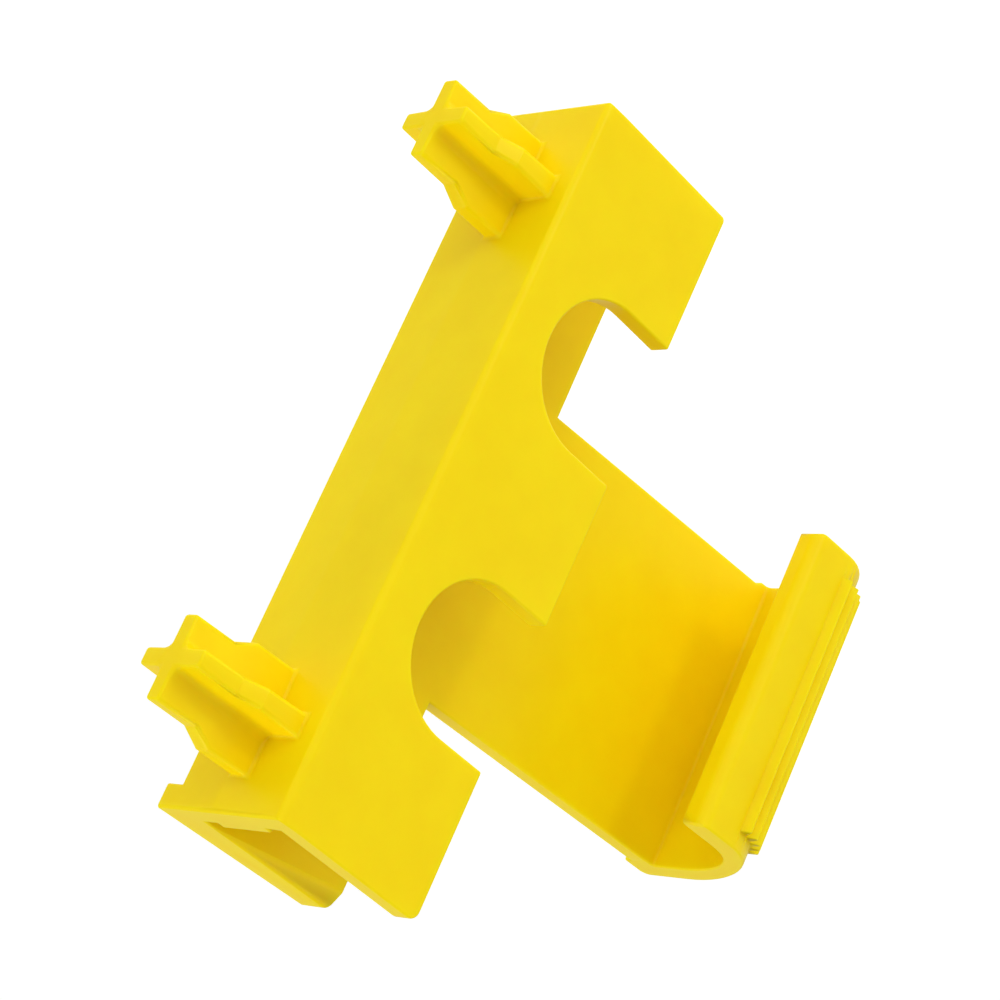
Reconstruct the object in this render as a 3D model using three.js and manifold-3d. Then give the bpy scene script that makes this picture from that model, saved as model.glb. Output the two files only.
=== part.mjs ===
// Clip-on fence insulator for a steel T-post, moulded in one piece of yellow polyethylene.
// A C-shaped channel and a springy hooked arm wrap the flange of the post, whose stem leaves
// through the gap between the lobed wall and the lip. Two cross-shaped pegs hold the fence tape.
// The moulding is split into its features, so that each can be found, measured and reused.
//
// Millimetres. +Z runs up the post, the pegs point to -Y, and +X is the side of the studs.
// The origin is the middle of the slot that the flange fills, level with the middle of the part.
import * as THREE from "three";
import { mergeVertices } from "three/addons/utils/BufferGeometryUtils.js";
import Module from "manifold-3d";

const wasm = await Module();
wasm.setup();

// Driving dimensions
const LENGTH = 55; // along the post
const WIDTH = 11.2; // outside, across the two walls of the channel
const WALL = 1.7; // general wall thickness
const FLANGE = 35; // face width of a standard steel T-post
const FLANGE_PLAY = 1.3; // clearance along the slot
const PAD_HEIGHT = 0.6; // raised seat for the flange's edge
const PAD_WIDTH = 5;
const EDGE_RADIUS = 1; // long outer edge between the front wall and the lobed wall

const LOBED_DEPTH = 13.4; // front face to the free edge of the lobed wall
const PLAIN_DEPTH = 14.4; // front face to the free edge of the plain wall
const NOTCH_DEPTH = 9.7; // from the lobes' free edge
const LOBE_COUNT = 3;
const LOBE_CORNER = 0.4;
const LOBE_SKEW = 0.036; // rise of the lobed wall per millimetre away from the front wall
const TOP_CORNER = 0.8; // outer corner of the top lobe
const PLAIN_CORNER = 0.5; // corners of the plain wall's free edge and of the end rims

const RIM_REACH = 1.6; // how far each end rim stands out of the plain wall
const RIM_THICKNESS = 1.8;

const ARM_WIDTH = 23.1; // along the post, to pass between two studs
const HOOK_WIDTH = 23.4;
const ARM_LEAN = 0.7; // how far the arm leans in over its length
const HOOK_WALL = 1.8;
const HOOK_SHOULDER = 2.45; // thickness of the hook's corner along Y
const SHOULDER_ROUND = 0.75;
const LIP_OUTER = -8.7; // X of the lip's outer face
const LIP_THICKNESS = 2.1;
const LIP_END = 9.85; // Y of the lip's free edge
const LIP_ROOT = 13.4; // Y where the lip runs into the round nose
const LIP_CORNER = 0.7;
const NOSE_START = 1; // X where the end wall runs into the nose
const NOSE_PULL_END = 4.2; // how fast the nose leaves the end wall
const NOSE_PULL_LIP = 3.2; // how fast it comes into the lip
const NOSE_STEPS = 13; // flat steps along the nose; each thumb rib stands on one
const GRIP_COUNT = 5;
const GRIP_LENGTH = 20.4;
const GRIP_HEIGHT = 0.85;

const PEG_PITCH = 41.5;
const PEG_LIFT = 0.25; // the pegs sit a little above the middle
const PEG_LENGTH = 8.6;
const PEG_HALF = 3.05; // half the span of the cross, towards the tip
const PEG_FOOT_HALF = 3.9; // half the span of the cross at the wall
const PEG_FOOT = 3.5; // length of the wide foot
const PEG_STEP = 1.5; // length over which the foot narrows
const PEG_RIB = 1.4;
const PEG_CHAMFER = 0.2;

// Levels worked out from the driving dimensions
const SLOT = FLANGE + FLANGE_PLAY;
const END_INNER = SLOT / 2;
const END_OUTER = END_INNER + HOOK_WALL;
const FRONT_INNER = -SLOT / 2 - PAD_HEIGHT;
const FRONT_OUTER = FRONT_INNER - WALL;
const LOBED_EDGE = FRONT_OUTER + LOBED_DEPTH;
const PLAIN_EDGE = FRONT_OUTER + PLAIN_DEPTH;
const NOTCH_FLOOR = LOBED_EDGE - NOTCH_DEPTH;
const LOBE_WIDTH = LENGTH / (2 * LOBE_COUNT - 1);
const NOTCH_RADIUS = LOBE_WIDTH / 2;
const OUTER = WIDTH / 2;
const INNER = OUTER - WALL;
const TOP = LENGTH / 2;
const ARM_TOP = ARM_WIDTH / 2;
const HOOK_TOP = HOOK_WIDTH / 2;
const ARM_END = END_OUTER - HOOK_SHOULDER;

const YELLOW = 0xf0d414;

function geometryToManifold(geometry) {
  const positions = geometry.clone();
  positions.deleteAttribute("normal");
  positions.deleteAttribute("uv");
  const merged = mergeVertices(positions, 1e-5);
  const mesh = new wasm.Mesh({
    numProp: 3,
    vertProperties: new Float32Array(merged.attributes.position.array),
    triVerts: new Uint32Array(merged.index.array),
  });
  return new wasm.Manifold(mesh);
}

function manifoldToGeometry(solid) {
  const mesh = solid.getMesh();
  const geometry = new THREE.BufferGeometry();
  geometry.setAttribute("position", new THREE.BufferAttribute(mesh.vertProperties, 3));
  geometry.setIndex(new THREE.BufferAttribute(mesh.triVerts, 1));
  geometry.computeVertexNormals();
  return geometry;
}

// An outline in X and Y, carried along Z.
function alongZ(shape, low, high, steps = 8) {
  const options = { depth: high - low, bevelEnabled: false, curveSegments: steps };
  return new THREE.ExtrudeGeometry(shape, options).translate(0, 0, low);
}

// An outline whose first axis is Y and second is Z, carried along X.
function alongX(shape, low, high, steps = 8) {
  const geometry = alongZ(shape, low, high, steps);
  const turn = new THREE.Matrix4().makeBasis(
    new THREE.Vector3(0, 1, 0),
    new THREE.Vector3(0, 0, 1),
    new THREE.Vector3(1, 0, 0),
  );
  return geometry.applyMatrix4(turn);
}

function block(x, y, z) {
  const size = [x[1] - x[0], y[1] - y[0], z[1] - z[0]];
  const middle = [(x[0] + x[1]) / 2, (y[0] + y[1]) / 2, (z[0] + z[1]) / 2];
  return new THREE.BoxGeometry(...size).translate(...middle);
}

function outline(points) {
  return new THREE.Shape(points.map(([x, y]) => new THREE.Vector2(x, y)));
}

// The plate that the tape lies on, with a round edge on the lobed side.
function frontWall() {
  const shape = new THREE.Shape();
  shape.moveTo(OUTER, FRONT_OUTER);
  shape.lineTo(OUTER, FRONT_INNER);
  shape.lineTo(-OUTER, FRONT_INNER);
  shape.lineTo(-OUTER, FRONT_OUTER + EDGE_RADIUS);
  shape.absarc(-OUTER + EDGE_RADIUS, FRONT_OUTER + EDGE_RADIUS, EDGE_RADIUS, Math.PI, 1.5 * Math.PI, false);
  return alongZ(shape, -TOP, TOP);
}

// The seat inside the channel that one edge of the flange bears on.
function edgePad() {
  const y = [FRONT_INNER, FRONT_INNER + PAD_HEIGHT];
  return block([-PAD_WIDTH / 2, PAD_WIDTH / 2], y, [-TOP, TOP]);
}

// The lobed wall leaves the front wall square and runs about two degrees up the post.
function skewed(geometry) {
  const shear = new THREE.Matrix4().makeShear(0, 0, 0, LOBE_SKEW, 0, 0);
  const lift = -LOBE_SKEW * FRONT_INNER;
  return geometry.applyMatrix4(shear).translate(0, 0, lift);
}

// The strip that carries the three lobes.
function lobedWall() {
  return skewed(block([-OUTER, -INNER], [FRONT_INNER, NOTCH_FLOOR], [-TOP, TOP]));
}

// One lobe: straight flanks that spread into the round floors of the notches beside it.
function lobe(index) {
  const middle = -TOP + LOBE_WIDTH * (2 * index + 0.5);
  const isFirst = index === 0;
  const isLast = index === LOBE_COUNT - 1;
  const low = middle - LOBE_WIDTH / 2;
  const high = middle + LOBE_WIDTH / 2;
  const arcCentre = NOTCH_FLOOR + NOTCH_RADIUS;
  const highCorner = isLast ? TOP_CORNER : LOBE_CORNER;
  const shape = new THREE.Shape();
  if (isFirst) {
    shape.moveTo(NOTCH_FLOOR, low);
  } else {
    shape.moveTo(NOTCH_FLOOR, low - NOTCH_RADIUS);
    shape.absarc(arcCentre, low - NOTCH_RADIUS, NOTCH_RADIUS, Math.PI, Math.PI / 2, true);
  }
  shape.lineTo(LOBED_EDGE - LOBE_CORNER, low);
  shape.absarc(LOBED_EDGE - LOBE_CORNER, low + LOBE_CORNER, LOBE_CORNER, -Math.PI / 2, 0, false);
  shape.lineTo(LOBED_EDGE, high - highCorner);
  shape.absarc(LOBED_EDGE - highCorner, high - highCorner, highCorner, 0, Math.PI / 2, false);
  if (isLast) {
    shape.lineTo(NOTCH_FLOOR, high);
  } else {
    shape.lineTo(arcCentre, high);
    shape.absarc(arcCentre, high + NOTCH_RADIUS, NOTCH_RADIUS, -Math.PI / 2, -Math.PI, true);
  }
  return skewed(alongX(shape, -OUTER, -INNER, 10));
}

// The wall on the stud side, whose free corners are rounded.
function plainWall() {
  const shape = new THREE.Shape();
  shape.moveTo(FRONT_INNER, -TOP);
  shape.lineTo(PLAIN_EDGE - PLAIN_CORNER, -TOP);
  shape.absarc(PLAIN_EDGE - PLAIN_CORNER, -TOP + PLAIN_CORNER, PLAIN_CORNER, -Math.PI / 2, 0, false);
  shape.lineTo(PLAIN_EDGE, TOP - PLAIN_CORNER);
  shape.absarc(PLAIN_EDGE - PLAIN_CORNER, TOP - PLAIN_CORNER, PLAIN_CORNER, 0, Math.PI / 2, false);
  shape.lineTo(FRONT_INNER, TOP);
  return alongX(shape, INNER, OUTER);
}

// A low rim across the top end of the plain wall, with the wall's own corner.
function endRimTop() {
  const shape = new THREE.Shape();
  shape.moveTo(FRONT_OUTER, TOP - RIM_THICKNESS);
  shape.lineTo(PLAIN_EDGE, TOP - RIM_THICKNESS);
  shape.lineTo(PLAIN_EDGE, TOP - PLAIN_CORNER);
  shape.absarc(PLAIN_EDGE - PLAIN_CORNER, TOP - PLAIN_CORNER, PLAIN_CORNER, 0, Math.PI / 2, false);
  shape.lineTo(FRONT_OUTER, TOP);
  return alongX(shape, OUTER, OUTER + RIM_REACH);
}

// The rim of the bottom end is the same part turned over and moved back to its corner.
function endRimBottom() {
  const middle = OUTER + RIM_REACH / 2;
  return endRimTop().translate(-middle, 0, 0).rotateY(Math.PI).translate(middle, 0, 0);
}

// Half the outline of one plate of a peg: a wide foot, a step and a chamfered tip.
function pegPlate() {
  const half = [
    [PEG_FOOT_HALF, 0],
    [PEG_FOOT_HALF, PEG_FOOT],
    [PEG_HALF, PEG_FOOT + PEG_STEP],
    [PEG_HALF, PEG_LENGTH - PEG_CHAMFER],
    [PEG_HALF - PEG_CHAMFER, PEG_LENGTH],
  ];
  const mirrored = half.map(([across, out]) => [-across, out]).reverse();
  const plate = alongZ(outline([...half, ...mirrored]), -PEG_RIB / 2, PEG_RIB / 2);
  return plate.rotateX(Math.PI);
}

// A cross-shaped peg, made of an upright plate and a level one.
function peg(height) {
  const level = pegPlate();
  const upright = pegPlate().rotateY(Math.PI / 2);
  const cross = geometryToManifold(level).add(geometryToManifold(upright));
  return manifoldToGeometry(cross).translate(0, FRONT_OUTER, height);
}

// How far the arm has leaned in at a given Y.
function leanAt(y) {
  return (ARM_LEAN * (y - PLAIN_EDGE)) / (ARM_END - PLAIN_EDGE);
}

// The springy arm that carries on from the plain wall and passes between two studs.
function arm() {
  const shape = outline([
    [OUTER, PLAIN_EDGE],
    [OUTER - leanAt(ARM_END), ARM_END],
    [INNER - leanAt(ARM_END), ARM_END],
    [INNER, PLAIN_EDGE],
  ]);
  return alongZ(shape, -ARM_TOP, ARM_TOP);
}

// The wall that closes the slot beyond the arm, with a rounded shoulder.
function hookEnd() {
  const shape = new THREE.Shape();
  shape.moveTo(OUTER, ARM_END);
  shape.lineTo(OUTER, END_OUTER - SHOULDER_ROUND);
  shape.absarc(OUTER - SHOULDER_ROUND, END_OUTER - SHOULDER_ROUND, SHOULDER_ROUND, 0, Math.PI / 2, false);
  shape.lineTo(NOSE_START, END_OUTER);
  shape.lineTo(NOSE_START, END_INNER);
  shape.lineTo(INNER - ARM_LEAN - SHOULDER_ROUND, END_INNER);
  shape.lineTo(INNER - ARM_LEAN, ARM_END);
  return alongZ(shape, -HOOK_TOP, HOOK_TOP);
}

// The outer and inner curves of the nose run from the end wall round to the lip.
function noseCurve(startY, endX) {
  return new THREE.CubicBezierCurve(
    new THREE.Vector2(NOSE_START, startY),
    new THREE.Vector2(NOSE_START - NOSE_PULL_END, startY),
    new THREE.Vector2(endX, LIP_ROOT + NOSE_PULL_LIP),
    new THREE.Vector2(endX, LIP_ROOT),
  );
}

function nosePoints(startY, endX) {
  return noseCurve(startY, endX).getSpacedPoints(NOSE_STEPS);
}

function hookNose() {
  const outer = nosePoints(END_OUTER, LIP_OUTER);
  const inner = nosePoints(END_INNER, LIP_OUTER + LIP_THICKNESS).reverse();
  return alongZ(new THREE.Shape([...outer, ...inner]), -HOOK_TOP, HOOK_TOP);
}

// The lip that runs back behind the flange.
function hookLip() {
  const bend = LIP_END + LIP_CORNER;
  const side = HOOK_TOP - LIP_CORNER;
  const shape = new THREE.Shape();
  shape.moveTo(LIP_ROOT, -HOOK_TOP);
  shape.lineTo(LIP_ROOT, HOOK_TOP);
  shape.lineTo(bend, HOOK_TOP);
  shape.absarc(bend, side, LIP_CORNER, Math.PI / 2, Math.PI, false);
  shape.lineTo(LIP_END, -side);
  shape.absarc(bend, -side, LIP_CORNER, Math.PI, 1.5 * Math.PI, false);
  return alongX(shape, LIP_OUTER, LIP_OUTER + LIP_THICKNESS);
}

// A thumb rib along the nose, standing on one flat step of its outer curve.
function gripRib(index) {
  const points = nosePoints(END_OUTER, LIP_OUTER);
  const step = NOSE_STEPS - 1 - index;
  const start = points[step];
  const end = points[step + 1];
  const along = end.clone().sub(start);
  const out = new THREE.Vector2(along.y, -along.x).normalize();
  const place = (share, height) => start.clone().addScaledVector(along, share).addScaledVector(out, height);
  const section = [place(0.05, 0), place(0.5, GRIP_HEIGHT), place(0.65, GRIP_HEIGHT), place(0.95, 0)];
  return alongZ(new THREE.Shape(section), -GRIP_LENGTH / 2, GRIP_LENGTH / 2);
}

const insulator = new THREE.Group();
insulator.name = "fence_insulator";

function add(name, geometry) {
  const material = new THREE.MeshStandardMaterial({ color: YELLOW, roughness: 0.4, metalness: 0 });
  const mesh = new THREE.Mesh(geometry, material);
  mesh.name = name;
  insulator.add(mesh);
}

add("front_wall", frontWall());
add("edge_pad", edgePad());
add("lobed_wall", lobedWall());
["lobe_bottom", "lobe_middle", "lobe_top"].forEach((name, index) => add(name, lobe(index)));
add("plain_wall", plainWall());
add("end_rim_top", endRimTop());
add("end_rim_bottom", endRimBottom());
add("peg_upper", peg(PEG_LIFT + PEG_PITCH / 2));
add("peg_lower", peg(PEG_LIFT - PEG_PITCH / 2));
add("arm", arm());
add("hook_end", hookEnd());
add("hook_nose", hookNose());
add("hook_lip", hookLip());
for (let index = 0; index < GRIP_COUNT; index += 1) {
  add(`grip_rib_${index + 1}`, gripRib(index));
}

export default insulator;
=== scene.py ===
# %% [markdown]
# # A clip-on fence insulator
# The real part is one piece of bright yellow polyethylene, moulded in a single shot. It clips over the
# flange of a steel T-post and carries electric fence tape on the two crossed pegs of its front wall.
# The CAD model splits the moulding into its features. Here they are joined again into one skin, because
# the roots of the pegs, the walls and the arm of a real moulding run into each other without a seam.

# %% Load the frame
import math

import bmesh
import bpy
from mathutils import Matrix, Vector
from mathutils.geometry import interpolate_bezier
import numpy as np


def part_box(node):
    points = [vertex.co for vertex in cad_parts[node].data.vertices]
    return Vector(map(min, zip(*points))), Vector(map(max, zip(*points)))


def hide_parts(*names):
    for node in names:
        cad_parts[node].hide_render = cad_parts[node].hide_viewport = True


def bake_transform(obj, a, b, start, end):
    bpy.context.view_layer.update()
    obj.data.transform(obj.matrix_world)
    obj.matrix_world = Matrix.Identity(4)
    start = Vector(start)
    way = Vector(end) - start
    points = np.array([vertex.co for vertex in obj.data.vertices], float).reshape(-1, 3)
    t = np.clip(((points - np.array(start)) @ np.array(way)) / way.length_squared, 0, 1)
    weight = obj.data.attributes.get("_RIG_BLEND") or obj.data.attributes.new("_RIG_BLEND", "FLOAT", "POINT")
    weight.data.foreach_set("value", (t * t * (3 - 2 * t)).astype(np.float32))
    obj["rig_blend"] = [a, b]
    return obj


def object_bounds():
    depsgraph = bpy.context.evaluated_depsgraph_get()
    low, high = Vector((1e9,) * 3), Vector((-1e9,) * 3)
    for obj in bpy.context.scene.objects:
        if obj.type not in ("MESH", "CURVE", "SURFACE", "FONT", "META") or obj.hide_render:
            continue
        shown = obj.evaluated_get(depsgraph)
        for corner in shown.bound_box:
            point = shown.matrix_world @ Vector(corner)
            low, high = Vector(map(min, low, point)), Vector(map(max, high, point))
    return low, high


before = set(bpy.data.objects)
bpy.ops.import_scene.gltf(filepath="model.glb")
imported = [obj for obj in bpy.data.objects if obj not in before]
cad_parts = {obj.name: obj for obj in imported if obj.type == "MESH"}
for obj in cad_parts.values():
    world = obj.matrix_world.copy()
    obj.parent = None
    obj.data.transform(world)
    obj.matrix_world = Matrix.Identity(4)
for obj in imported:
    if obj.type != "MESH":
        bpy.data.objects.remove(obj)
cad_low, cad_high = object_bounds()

print("nodes in the frame:", len(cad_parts))

# %% [markdown]
# The levels come from the boxes of the CAD nodes, apart from a few that each step names. The pieces
# are worked in millimetres, because edges and radii are easier to think about, and are brought to
# metres at the end.

# %% Read the levels of the moulding
MM = 0.001


def box_mm(node):
    low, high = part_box(node)
    return low / MM, high / MM


front_low, front_high = box_mm("front_wall")
pad_low, pad_high = box_mm("edge_pad")
plain_low, plain_high = box_mm("plain_wall")
lobed_high = box_mm("lobed_wall")[1]
lobe_low, lobe_high = box_mm("lobe_middle")
rim_low, rim_high = box_mm("end_rim_top")
peg_low, peg_high = box_mm("peg_upper")
arm_low, arm_high = box_mm("arm")
end_low, end_high = box_mm("hook_end")
nose_low, nose_high = box_mm("hook_nose")
lip_low, lip_high = box_mm("hook_lip")

outer, inner = front_high.x, plain_low.x
top = front_high.z
front_face, front_back = front_low.y, front_high.y
wall = outer - inner
print(f"channel {2 * outer:.1f} mm wide, {2 * top:.1f} mm long, walls {wall:.2f} mm")

# %% [markdown]
# A closed solid starts from a flat outline of a few corners. The outline is made a face, and the
# face is extruded along one axis. Corners are rounded afterwards with a bevel.

# %% Carry an outline along an axis
NEAR = 0.01
SLICE_TOLERANCE = 0.0001
AXES = {
    "z": Matrix.Identity(3),
    "x": Matrix(((0, 0, 1), (1, 0, 0), (0, 1, 0))),
    "y": Matrix(((1, 0, 0), (0, 0, 1), (0, 1, 0))),
}


def prism(corners, along, start, end):
    """A closed solid: the outline's two axes follow in order after the one it is carried along."""
    turn = AXES[along]
    shape = bmesh.new()
    face = shape.faces.new([shape.verts.new(turn @ Vector((a, b, start))) for a, b in corners])
    grown = bmesh.ops.extrude_face_region(shape, geom=[face])["geom"]
    tops = [v for v in grown if isinstance(v, bmesh.types.BMVert)]
    bmesh.ops.translate(shape, verts=tops, vec=turn @ Vector((0, 0, end - start)))
    bmesh.ops.recalc_face_normals(shape, faces=shape.faces)
    return shape


def round_edges(shape, chosen, radius, segments=8):
    """Rounds the chosen edges of a solid."""
    bmesh.ops.bevel(
        shape, geom=chosen, offset=radius, offset_type="OFFSET", affect="EDGES",
        segments=segments, profile=0.5, material=-1, clamp_overlap=True,
    )


def middle(edge):
    return (edge.verts[0].co + edge.verts[1].co) / 2


def runs_along(edge, axis):
    span = edge.verts[1].co - edge.verts[0].co
    return abs(span["xyz".index(axis)]) > 0.999 * span.length


def across_at(shape, level):
    """The edges that run along X at one level of Y."""
    return [e for e in shape.edges if runs_along(e, "x") and abs(middle(e).y - level) < NEAR]


def at_end(edge):
    return abs(abs(middle(edge).z) - top) < NEAR


def slice_at(shape, level):
    """Cuts new edges right across a solid at one level of Y."""
    everything = shape.verts[:] + shape.edges[:] + shape.faces[:]
    bmesh.ops.bisect_plane(
        shape, geom=everything, plane_co=(0, level, 0), plane_no=(0, 1, 0), dist=SLICE_TOLERANCE,
    )


# %% [markdown]
# Solids are joined and cut with the exact Boolean, which works on objects. A bake keeps the result
# as a plain mesh, and flat faces that the Boolean split are dissolved back into one.

# %% Join and cut solids
def solid(name, shape):
    mesh = bpy.data.meshes.new(name)
    shape.to_mesh(mesh)
    shape.free()
    thing = bpy.data.objects.new(name, mesh)
    bpy.context.scene.collection.objects.link(thing)
    return thing


def bake(thing):
    bpy.context.view_layer.update()
    seen = thing.evaluated_get(bpy.context.evaluated_depsgraph_get())
    mesh = bpy.data.meshes.new_from_object(seen)
    thing.modifiers.clear()
    thing.data = mesh


def combine(body, tool, operation):
    """Adds the tool to the body or takes it away, and removes the tool."""
    step = body.modifiers.new(operation, "BOOLEAN")
    step.operation = operation
    step.solver = "EXACT"
    step.object = tool
    bake(body)
    bpy.data.objects.remove(tool)


WELD = 0.002
FLAT_ANGLE = math.radians(0.4)


def merge_flats(thing):
    """Dissolves the lines that a Boolean leaves inside flat faces."""
    shape = bmesh.new()
    shape.from_mesh(thing.data)
    bmesh.ops.remove_doubles(shape, verts=shape.verts, dist=WELD)
    bmesh.ops.dissolve_limit(
        shape, angle_limit=FLAT_ANGLE, verts=shape.verts, edges=shape.edges,
        use_dissolve_boundaries=False,
    )
    shape.to_mesh(thing.data)
    shape.free()


# %% [markdown]
# The channel is a C in section. The lobed wall leaves the front square and runs two degrees up the
# post, so its free edge is moved a little along Z.

# %% Make the channel
lobed_edge = lobe_high.y
plain_edge = plain_high.y
skew = (lobed_high.z - top) / (lobed_high.y - front_back)


def channel():
    corners = [
        (-outer, lobed_edge), (-outer, front_face), (outer, front_face), (outer, plain_edge),
        (inner, plain_edge), (inner, front_back), (pad_high.x, front_back), (pad_high.x, pad_high.y),
        (pad_low.x, pad_high.y), (pad_low.x, front_back), (-inner, front_back), (-inner, lobed_edge),
    ]
    shape = prism(corners, "z", -top, top)
    slice_at(shape, front_back)
    for v in shape.verts:
        if v.co.x < -inner + NEAR and v.co.y > front_back:
            v.co.z += skew * (v.co.y - front_back)
    return shape


PLAIN_CORNER = 0.5
TOP_CORNER = 0.8
BOTTOM_CORNER = 0.35
CORNER_STEPS = 12
shape = channel()
round_edges(shape, [e for e in across_at(shape, plain_edge) if at_end(e)], PLAIN_CORNER, CORNER_STEPS)
for side, radius in ((1, TOP_CORNER), (-1, BOTTOM_CORNER)):
    round_edges(shape, [e for e in across_at(shape, lobed_edge) if side * middle(e).z > 0], radius)
body = solid("insulator", shape)
print("channel faces:", len(body.data.polygons))

# %% [markdown]
# The notches between the lobes are U-shaped, with a half-round floor. A slab whose two floor corners
# are rounded makes the cutter, and it leans with the lobed wall.

# %% Cut the notches
notch_floor = lobe_low.y
lobe_width = 2 * top / 5
notch_radius = lobe_width / 2
NOTCH_STEPS = 16
OPEN_END = 3.0
PAST = 1.0

for centre in (-lobe_width, lobe_width):
    low, high = centre - notch_radius, centre + notch_radius
    mouth = lobed_edge + OPEN_END
    corners = [(notch_floor, low), (notch_floor, high), (mouth, high), (mouth, low)]
    cutter = prism(corners, "x", -outer - PAST, -inner + PAST)
    round_edges(cutter, across_at(cutter, notch_floor), notch_radius - NEAR, NOTCH_STEPS)
    for v in cutter.verts:
        v.co.z += skew * (v.co.y - front_back)
    combine(body, solid("notch_cutter", cutter), "DIFFERENCE")
print("notches:", round(lobe_width, 2), "mm wide")

# %% [markdown]
# A low rim crosses each end of the plain wall on its outer side, and turns the same corner as the
# wall does.

# %% Add the end rims
RIM_SINK = 0.4
for side in (-1, 1):
    near, far = side * rim_low.z, side * rim_high.z
    corners = [(rim_low.y, near), (plain_edge, near), (plain_edge, far), (rim_low.y, far)]
    rim = prism(corners, "x", outer - RIM_SINK, rim_high.x)
    round_edges(rim, [e for e in across_at(rim, plain_edge) if at_end(e)], PLAIN_CORNER, CORNER_STEPS)
    combine(body, solid("end_rim", rim), "UNION")
print("rims stand", round(rim_high.x - outer, 2), "mm out")

# %% [markdown]
# Arm and hook share one section, so they are one outline: the arm leans in towards its end, the hook
# closes the slot, and the nose sweeps round to the lip on a Bezier curve, thicker than the arm. The
# hook is a little wider than the arm and sits slightly low.

# %% Make the arm and the hook
lean = inner - arm_low.x
arm_end = end_low.y
NOSE_POINTS = 16
PULL_END = 4.2
PULL_LIP = 3.2
SHOULDER = 0.75
INSIDE_FILLET = 0.3
LIP_OUTER_ROUND = 0.95
LIP_INNER_ROUND = 0.4
HOOK_WALL = 1.8
HOOK_SPREAD = 0.5
HOOK_DROP = 0.18
ARM_SINK = 1.0
hook_inner = end_high.y - HOOK_WALL


def nose_curve(start_y, end_x):
    """Points of the nose's outer or inner curve, from the end wall to the lip."""
    handles = [
        (nose_high.x, start_y), (nose_high.x - PULL_END, start_y),
        (end_x, lip_high.y + PULL_LIP), (end_x, lip_high.y),
    ]
    points = interpolate_bezier(*[Vector((x, y, 0)) for x, y in handles], NOSE_POINTS)
    return [(p.x, p.y) for p in points]


outline = [
    (outer, plain_edge - ARM_SINK), (outer, plain_edge), (outer - lean, arm_end), (outer, arm_end),
    (outer, end_high.y), *nose_curve(end_high.y, nose_low.x), (lip_low.x, lip_low.y),
    (lip_high.x, lip_low.y), *reversed(nose_curve(hook_inner, lip_high.x)), (inner - lean, hook_inner),
    (inner, plain_edge), (inner, plain_edge - ARM_SINK),
]
shape = prism(outline, "z", arm_low.z, arm_high.z)
for place, radius, segments in (
    ((outer, end_high.y), SHOULDER, 8),
    ((inner - lean, hook_inner), INSIDE_FILLET, 8),
    ((lip_low.x, lip_low.y), LIP_OUTER_ROUND, 10),
    ((lip_high.x, lip_low.y), LIP_INNER_ROUND, 8),
):
    chosen = [
        e for e in shape.edges
        if runs_along(e, "z") and (middle(e).xy - Vector(place)).length < NEAR
    ]
    round_edges(shape, chosen, radius, segments)
for level in (arm_end - HOOK_SPREAD, arm_end):
    slice_at(shape, level)
for v in shape.verts:
    if v.co.y > arm_end - NEAR or v.co.x < nose_high.x:
        v.co.z = v.co.z * end_high.z / arm_high.z - HOOK_DROP
combine(body, solid("arm_and_hook", shape), "UNION")
print("arm:", round(arm_high.z - arm_low.z, 1), "mm wide, leans in", round(lean, 2), "mm")

# %% [markdown]
# Each peg is two plates crossed at right angles. A plate has a wide foot, a short slope and a
# narrower blade, and it thickens towards its root.

# %% Add the pegs
foot_half = peg_high.x
BLADE_HALF = 3.08
PEG_SINK = 0.6
FOOT = 3.5
SLOPE = 1.6
RIB = 1.3
DRAFT = 0.3
peg_length = front_face - peg_low.y
peg_centres = [sum(corner.z for corner in box_mm(peg)) / 2 for peg in ("peg_lower", "peg_upper")]


def peg_plate(upright):
    half = [
        (foot_half, -PEG_SINK), (foot_half, FOOT), (BLADE_HALF, FOOT + SLOPE),
        (BLADE_HALF, peg_length),
    ]
    around = half + [(-a, b) for a, b in reversed(half)]
    if upright:
        plate = prism([(front_face - out, across) for across, out in around], "x", -RIB / 2, RIB / 2)
    else:
        plate = prism([(across, front_face - out) for across, out in around], "z", -RIB / 2, RIB / 2)
    for v in plate.verts:
        draft = 1 + DRAFT * (v.co.y - peg_low.y) / peg_length
        if upright:
            v.co.x *= draft
        else:
            v.co.z *= draft
    return plate


for height in peg_centres:
    cross = solid("peg", peg_plate(True))
    combine(cross, solid("peg_level", peg_plate(False)), "UNION")
    cross.data.transform(Matrix.Translation((0, 0, height)))
    combine(body, cross, "UNION")
merge_flats(body)
print("joined moulding faces:", len(body.data.polygons))

# %% [markdown]
# A moulding like this has no sharp edge. Each sharp edge gets a bevel weight, which is its radius in
# millimetres, and one Bevel modifier rounds them all, so that edges of different radii meet cleanly.
# An edge that turns only a little gets less of its radius, and the shallowest edges get none.

# %% Round every edge
EDGE = 0.17
LONG_EDGE = 0.6
ROOT = 0.25
PEG_EDGE = 0.3
PEG_HOLLOW = 0.8
TIP_EDGE = 0.2
SHALLOW = math.radians(24)
FADE = math.radians(35)
CLOSE = 0.02
TIP_BAND = 0.05
ROOT_BAND = 0.2


def radius_of(edge):
    """The rounding of one sharp edge, in millimetres."""
    a, b = (v.co for v in edge.verts)
    m = (a + b) / 2
    near_face = max(a.y, b.y) < front_face + CLOSE
    from_peg = min(abs(m.z - height) for height in peg_centres)
    by_peg = from_peg < foot_half + ROOT_BAND and abs(m.x) < foot_half + ROOT_BAND
    if by_peg and m.y < front_face - CLOSE:
        concave = abs(m.x) < RIB and from_peg < RIB and runs_along(edge, "y")
        if concave:
            return PEG_HOLLOW
        return TIP_EDGE if m.y < peg_low.y + TIP_BAND else PEG_EDGE
    if by_peg and near_face:
        return ROOT
    if near_face and m.x < -outer + CLOSE:
        return LONG_EDGE
    return EDGE


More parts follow.
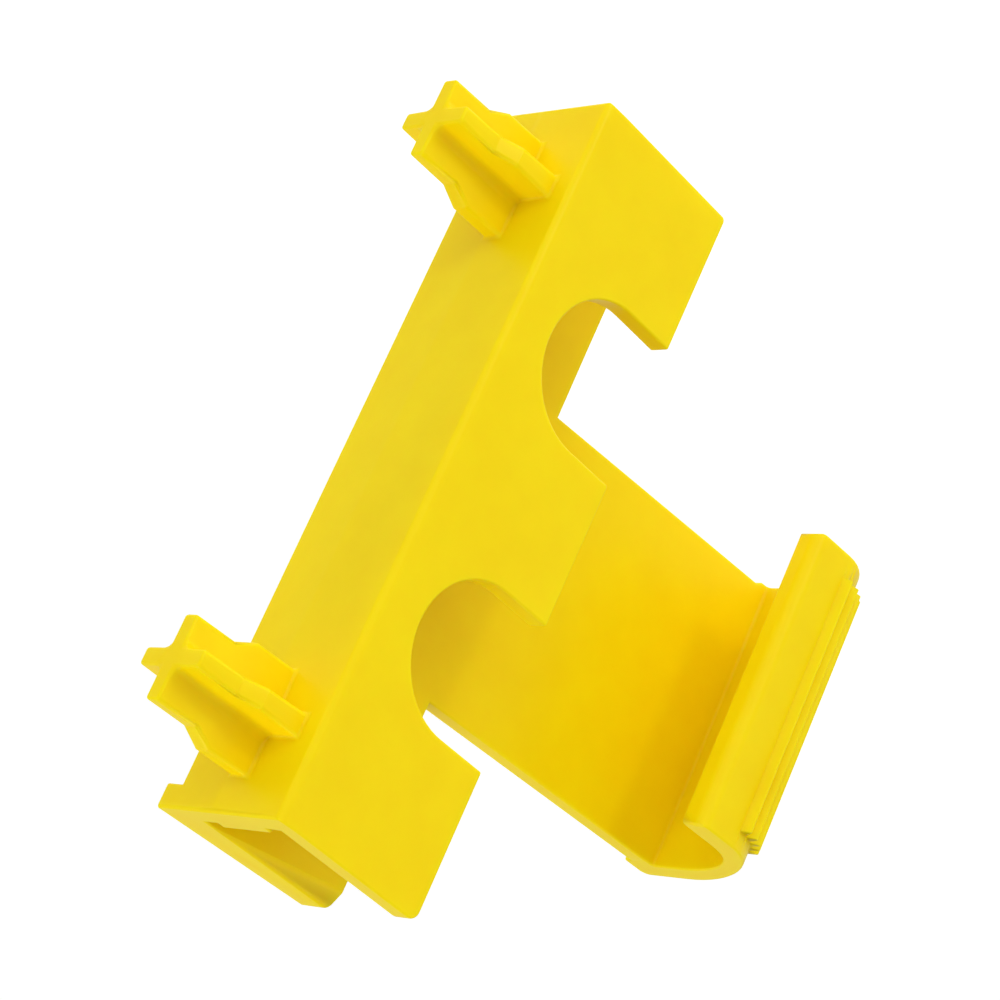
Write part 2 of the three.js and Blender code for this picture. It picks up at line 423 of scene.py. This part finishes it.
def mark_edges(thing):
    shape = bmesh.new()
    shape.from_mesh(thing.data)
    layers = shape.edges.layers.float
    weight = layers.get("bevel_weight_edge") or layers.new("bevel_weight_edge")
    count = 0
    for e in shape.edges:
        depth = (e.calc_face_angle(0) - SHALLOW) / FADE
        e[weight] = radius_of(e) * min(max(depth, 0), 1)
        count += depth > 0
    shape.to_mesh(thing.data)
    shape.free()
    return count


print("sharp edges:", mark_edges(body))
rounding = body.modifiers.new("rounding", "BEVEL")
rounding.limit_method = "WEIGHT"
rounding.width = 1.0
rounding.segments = 3
rounding.profile = 0.5
rounding.use_clamp_overlap = False
rounding.miter_outer = "MITER_SHARP"
bake(body)
print("rounded moulding faces:", len(body.data.polygons))

# %% [markdown]
# The front is very slightly crowned. The flat is cut along a ridge off its middle, and whatever is
# near it moves out, most at the ridge and not at all at the corners.

# %% Crown the front
CROWN = 0.15
RIDGE = 1.0
RIDGE_SPREAD = 0.4
RIDGE_CREST = 0.008
RIDGE_TOLERANCE = 0.001
SKIN_DEPTH = 1.0


def crown_at(x):
    """How far the front stands proud at x."""
    reach = outer - RIDGE if x > RIDGE else outer + RIDGE
    away = max(abs(x - RIDGE), RIDGE_SPREAD)
    crest = RIDGE_CREST if abs(x - RIDGE) < RIDGE_SPREAD / 2 else 0
    return CROWN * max(0, 1 - away / reach) + crest


def in_front(face):
    return face.normal.y < -0.99 and all(v.co.y < front_face + NEAR for v in face.verts)


shape = bmesh.new()
shape.from_mesh(body.data)
for level in (RIDGE - RIDGE_SPREAD, RIDGE, RIDGE + RIDGE_SPREAD):
    flat = [f for f in shape.faces if in_front(f)]
    around = {x for f in flat for x in (*f.verts, *f.edges)}
    bmesh.ops.bisect_plane(
        shape, geom=[*flat, *around], plane_co=(level, 0, 0), plane_no=(1, 0, 0), dist=RIDGE_TOLERANCE,
    )
for v in shape.verts:
    share = 1 - min(max((v.co.y - front_face) / SKIN_DEPTH, 0), 1)
    v.co.y -= share * crown_at(v.co.x)
shape.to_mesh(body.data)
shape.free()
print("crown:", CROWN, "mm")

# %% [markdown]
# The inside of each end of the plain wall is eased, so that the flange slides in. The easing is a
# thin wedge that starts at nothing beside the front wall. The two ends of the lip get a round corner.
# Both are cut after the rounding, because a bevel would fold over itself where they run out.

# %% Ease the ends
LEAD_DEPTH = 1.1
LEAD_LENGTH = 1.6
LEAD_OVER = 0.5
LEAD_TILT = 0.2
LIP_CORNER = 0.7
LIP_CORNER_STEPS = 8


def lead_in(side):
    """A wedge along the inner edge of the plain wall's end."""
    cutter = bmesh.new()
    reach = plain_edge + LEAD_OVER
    corners = [
        (inner, front_back, side * top),
        (inner + LEAD_DEPTH, reach, side * (top + LEAD_TILT)),
        (inner, reach, side * (top - LEAD_LENGTH)),
        (inner - PAST, reach, side * (top + PAST)),
        (inner - PAST, front_back, side * (top + PAST)),
    ]
    for place in corners:
        cutter.verts.new(place)
    bmesh.ops.convex_hull(cutter, input=cutter.verts)
    bmesh.ops.recalc_face_normals(cutter, faces=cutter.faces)
    return cutter


def lip_corner(side):
    """What lies outside the round corner at one end of the lip."""
    edge, tip = lip_low.y, side * lip_high.z - HOOK_DROP
    turns = [math.radians(90 * step / LIP_CORNER_STEPS) for step in range(LIP_CORNER_STEPS + 1)]
    arc = [
        (edge + LIP_CORNER * (1 - math.cos(t)), tip - side * LIP_CORNER * (1 - math.sin(t)))
        for t in turns
    ]
    above = tip + side * PAST
    outside = [(edge + LIP_CORNER, above), (edge - PAST, above), (edge - PAST, tip - side * LIP_CORNER)]
    return prism(arc + outside, "x", lip_low.x - PAST, lip_high.x + PAST)


for side in (-1, 1):
    combine(body, solid("lead_in", lead_in(side)), "DIFFERENCE")
for side in (-1, 1):
    combine(body, solid("lip_corner", lip_corner(side)), "DIFFERENCE")
print("faces with eased ends:", len(body.data.polygons))

# %% [markdown]
# The thumb ribs are saw teeth that stand on the nose. Each takes its CAD node's shape, with tapered
# ends. Rounded with the nose they would leave folds in it, so each is rounded by itself and then
# joined to the finished nose.

# %% Add the thumb ribs
RIB_SINK = 0.12
RIB_TAPER = 0.15
RIB_EDGE = 0.07
RIB_EDGE_STEPS = 2
CREST_BAND = 0.1
HEART_DEPTH = 4.0
heart = Vector((nose_high.x - HEART_DEPTH, lip_high.y))
for index in range(1, 6):
    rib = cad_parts[f"grip_rib_{index}"]
    shape = bmesh.new()
    shape.from_mesh(rib.data)
    bmesh.ops.remove_doubles(shape, verts=shape.verts, dist=1e-6)
    bmesh.ops.scale(shape, verts=shape.verts, vec=(1 / MM, 1 / MM, 1 / MM))
    bmesh.ops.dissolve_limit(shape, angle_limit=math.radians(1), verts=shape.verts, edges=shape.edges)
    bmesh.ops.recalc_face_normals(shape, faces=shape.faces)
    reach = [(v.co.xy - heart).length for v in shape.verts]
    for v in shape.verts:
        away = v.co.xy - heart
        crest = (away.length - min(reach)) / (max(reach) - min(reach))
        v.co.z -= math.copysign(crest * RIB_TAPER, v.co.z)
        v.co.xy -= RIB_SINK * away.normalized()
    crest_reach = max(reach) - RIB_SINK - CREST_BAND
    crests = [e for e in shape.edges if (middle(e).xy - heart).length > crest_reach]
    round_edges(shape, crests, RIB_EDGE, RIB_EDGE_STEPS)
    combine(body, solid("thumb_rib", shape), "UNION")
print("thumb ribs: 5")

# %% [markdown]
# The arm has to bend smoothly when the clip opens, so it is cut across every millimetre. Then the
# mesh is brought to metres and shaded smooth, with normals that keep the large faces flat.

# %% Finish the skin
BEND_START = 0.5
BEND_STEP = 1.0
FLAT_FACE_WEIGHT = 100


def finish_skin(thing):
    shape = bmesh.new()
    shape.from_mesh(thing.data)
    level = plain_edge + BEND_START
    while level < arm_end:
        slice_at(shape, level)
        level += BEND_STEP
    bmesh.ops.scale(shape, verts=shape.verts, vec=(MM, MM, MM))
    for face in shape.faces:
        face.smooth = True
    shape.to_mesh(thing.data)
    shape.free()
    flats = thing.modifiers.new("flat_faces", "WEIGHTED_NORMAL")
    flats.weight = FLAT_FACE_WEIGHT
    flats.keep_sharp = False


finish_skin(body)
print("finished skin faces:", len(body.data.polygons))

# %% [markdown]
# High-density polyethylene is a waxy, slightly translucent plastic with a semi-gloss skin. Light
# enters a little way and comes out deeper yellow, which softens the shadows and lights up thin edges.
# The pigment is never quite even, and the skin carries the faint grain of the mould.

# %% Mix the polyethylene
def linear(hex_colour):
    """An sRGB hex value as the linear colour that a shader works in."""
    parts = [int(hex_colour[i:i + 2], 16) / 255 for i in (1, 3, 5)]
    return (*[c / 12.92 if c <= 0.04045 else ((c + 0.055) / 1.055) ** 2.4 for c in parts], 1)


def node(tree, kind, settings=None, **links):
    """Adds a node, sets its fields and inputs, and links what is given as a socket."""
    made = tree.nodes.new(kind)
    for key, value in (settings or {}).items():
        setattr(made, key, value)
    for key, value in links.items():
        socket = made.inputs[key.replace("_", " ")] if isinstance(key, str) else made.inputs[key]
        if isinstance(value, bpy.types.NodeSocket):
            tree.links.new(value, socket)
        else:
            socket.default_value = value
    return made


CLOUD_SIZE = 4 * MM
GRAIN_SIZE = 0.35 * MM
GRAIN_DEPTH = 0.05 * MM


def polyethylene():
    made = bpy.data.materials.new("moulded_polyethylene")
    made.use_nodes = True
    tree = made.node_tree
    shader = tree.nodes["Principled BSDF"]
    place = node(tree, "ShaderNodeTexCoord").outputs["Object"]
    cloud = node(tree, "ShaderNodeTexNoise", Vector=place, Scale=1 / CLOUD_SIZE, Detail=3.0)
    ramp = node(tree, "ShaderNodeValToRGB", Fac=cloud.outputs["Fac"])
    ramp.color_ramp.elements[0].color = linear("#F3D402")
    ramp.color_ramp.elements[1].color = linear("#FCE107")
    tree.links.new(ramp.outputs["Color"], shader.inputs["Base Color"])
    grain = node(tree, "ShaderNodeTexNoise", Vector=place, Scale=1 / GRAIN_SIZE, Detail=2.0)
    bump = node(tree, "ShaderNodeBump", Height=grain.outputs["Fac"], Strength=0.12, Distance=GRAIN_DEPTH)
    tree.links.new(bump.outputs["Normal"], shader.inputs["Normal"])
    shader.inputs["Roughness"].default_value = 0.34
    shader.inputs["IOR"].default_value = 1.54
    shader.inputs["Specular IOR Level"].default_value = 0.1
    shader.inputs["Subsurface Weight"].default_value = 0.5
    shader.inputs["Subsurface Radius"].default_value = (1.0, 0.7, 0.08)
    shader.inputs["Subsurface Scale"].default_value = 1.3 * MM
    return made


plastic = polyethylene()
body.data.materials.clear()
body.data.materials.append(plastic)
print("material:", plastic.name)

# %% [markdown]
# One skin stands for every node. It bends where the arm does: it follows the channel up to the free
# edge of the plain wall, and the hook beyond the end of the arm.

# %% Put the skin on the frame
NO_AREA = 1e-12
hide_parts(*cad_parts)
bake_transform(body, "channel", "clip_arm", start=(0, plain_edge * MM, 0), end=(0, arm_end * MM, 0))
skin = bmesh.new()
skin.from_mesh(body.data)
open_edges = sum(not e.is_manifold for e in skin.edges)
thin_faces = sum(f.calc_area() < NO_AREA for f in skin.faces)
print("open edges:", open_edges, "thin faces:", thin_faces)
skin.free()
print("skin triangles:", sum(len(p.vertices) - 2 for p in body.data.polygons))

# %% [markdown]
# The camera looks at the lobed wall and the front at once, rolled so that the part lies at a slant.

# %% Set the camera
RIGHT = Vector((-0.67014, 0.63381, -0.38626))
UP = Vector((-0.00410, -0.52355, -0.85198))
CAMERA_PLACE = Vector((-167.92, -139.52, 78.19))
camera_data = bpy.data.cameras.new("camera")
camera_data.lens = 119.8
camera_data.sensor_width = 36
camera_data.clip_start = 0.01
camera_data.clip_end = 10
camera = bpy.data.objects.new("camera", camera_data)
bpy.context.scene.collection.objects.link(camera)
back = RIGHT.cross(UP).normalized()
view_matrix = Matrix((RIGHT, UP, back)).transposed().to_4x4()
view_matrix.translation = CAMERA_PLACE * MM
camera.matrix_world = view_matrix
bpy.context.scene.camera = camera
print("camera:", round(CAMERA_PLACE.length), "mm from the middle of the part")

# %% [markdown]
# The set is a pale floor in a white light tent, with four soft lights around the camera. The floor
# lies well below the part, and is left out of its reflections.

# %% Light the set
FLOOR_GAP = 220 * MM
FLOOR_HALF = 3.0
floor_shape = bmesh.new()
bmesh.ops.create_grid(floor_shape, x_segments=1, y_segments=1, size=FLOOR_HALF)
bmesh.ops.translate(floor_shape, verts=floor_shape.verts, vec=(0, 0, cad_low.z - FLOOR_GAP))
floor = solid("floor", floor_shape)
floor_paint = bpy.data.materials.new("pale_floor")
floor_paint.use_nodes = True
floor_shader = floor_paint.node_tree.nodes["Principled BSDF"]
floor_shader.inputs["Base Color"].default_value = linear("#F7F7F5")
floor_shader.inputs["Roughness"].default_value = 0.9
floor_shader.inputs["Emission Color"].default_value = (1, 1, 1, 1)
floor_shader.inputs["Emission Strength"].default_value = 0.57
floor.data.materials.append(floor_paint)
floor.visible_glossy = False

world = bpy.data.worlds.new("tent")
bpy.context.scene.world = world
world.use_nodes = True
world.node_tree.nodes["Background"].inputs["Color"].default_value = (1, 1, 1, 1)
world.node_tree.nodes["Background"].inputs["Strength"].default_value = 0.5


def soft_light(name, place, size, watts):
    """An area light, placed in millimetres to the right, up and towards the camera."""
    across, up, towards = place
    data = bpy.data.lights.new(name, "AREA")
    data.size = size * MM
    data.energy = watts
    lamp = bpy.data.objects.new(name, data)
    bpy.context.scene.collection.objects.link(lamp)
    lamp.location = (across * RIGHT + up * UP + towards * back) * MM
    lamp.rotation_mode = "QUATERNION"
    lamp.rotation_quaternion = (-lamp.location).to_track_quat("-Z", "Y")


soft_light("key", place=(266, 247, 262), size=50, watts=0.2)
soft_light("front_fill", place=(0, 0, 450), size=160, watts=0.16)
soft_light("end_light", place=(-280, -330, 140), size=180, watts=0.82)
soft_light("edge_light", place=(20, 310, 320), size=40, watts=0.06)
bpy.context.scene.view_settings.view_transform = "Standard"
print("floor:", round(FLOOR_GAP / MM), "mm below the part")
